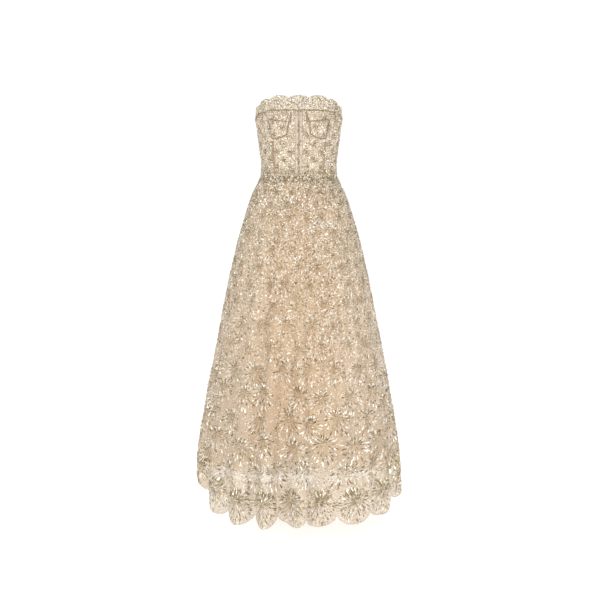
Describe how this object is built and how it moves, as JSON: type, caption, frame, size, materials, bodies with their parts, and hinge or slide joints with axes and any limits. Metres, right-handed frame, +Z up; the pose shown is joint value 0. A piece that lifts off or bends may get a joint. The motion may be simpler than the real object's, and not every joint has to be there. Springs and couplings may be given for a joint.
{
  "type": "strapless embroidered gown",
  "caption": "Strapless boned bodice with a scalloped net edge, over a full net skirt that falls in soft flutes to a scalloped hem above a shorter lining.",
  "frame": {"origin": "middle of the waist seam, where the wearer's waist carries the gown", "axes": "+Z up along the body, -Y towards the gown's front, +X to the viewer's right when the front is seen"},
  "size_m": [0.6712, 0.6185, 1.3084],
  "materials": {
    "net": "fine net worked all over with silver and champagne sequins",
    "satin": "smooth satin under beaded net",
    "lining": "nude lining silk",
    "casing": "narrow satin binding",
    "metal": "pale polished zip metal"
  },
  "bodies": {
    "gown": {"bodice_centre_left": "satin", "bodice_centre_right": "satin", "bodice_front_left": "satin", "bodice_front_right": "satin", "cup_lower_left": "satin", "cup_lower_right": "satin", "cup_upper_left": "satin", "cup_upper_right": "satin", "bodice_side_left": "satin", "bodice_side_right": "satin", "bodice_back_left": "satin", "bodice_back_right": "satin", "neckline_net_front": "net", "neckline_net_back_left": "net", "neckline_net_back_right": "net", "casing_centre_left": "casing", "casing_centre_right": "casing", "casing_princess_left": "casing", "casing_princess_right": "casing", "underwire_left": "casing", "underwire_right": "casing", "cup_seam_left": "casing", "cup_seam_right": "casing", "casing_side_left": "casing", "casing_side_right": "casing", "casing_back_left": "casing", "casing_back_right": "casing", "top_binding_front": "casing", "top_binding_back_left": "casing", "top_binding_back_right": "casing", "skirt_front": "net", "skirt_back_left": "net", "skirt_back_right": "net", "lining_front": "lining", "lining_back": "lining", "zip_chain": "metal", "zip_slider": "metal"},
    "pull_tab": {"zip_pull": "metal"}
  },
  "joints": [
    {"name": "pull_swing", "type": "hinge", "parent": "gown", "child": "pull_tab", "pos_m": [0, 0.10228, 0.1555], "axis": [1, 0, 0], "range_deg": [0, 150]}
  ]
}
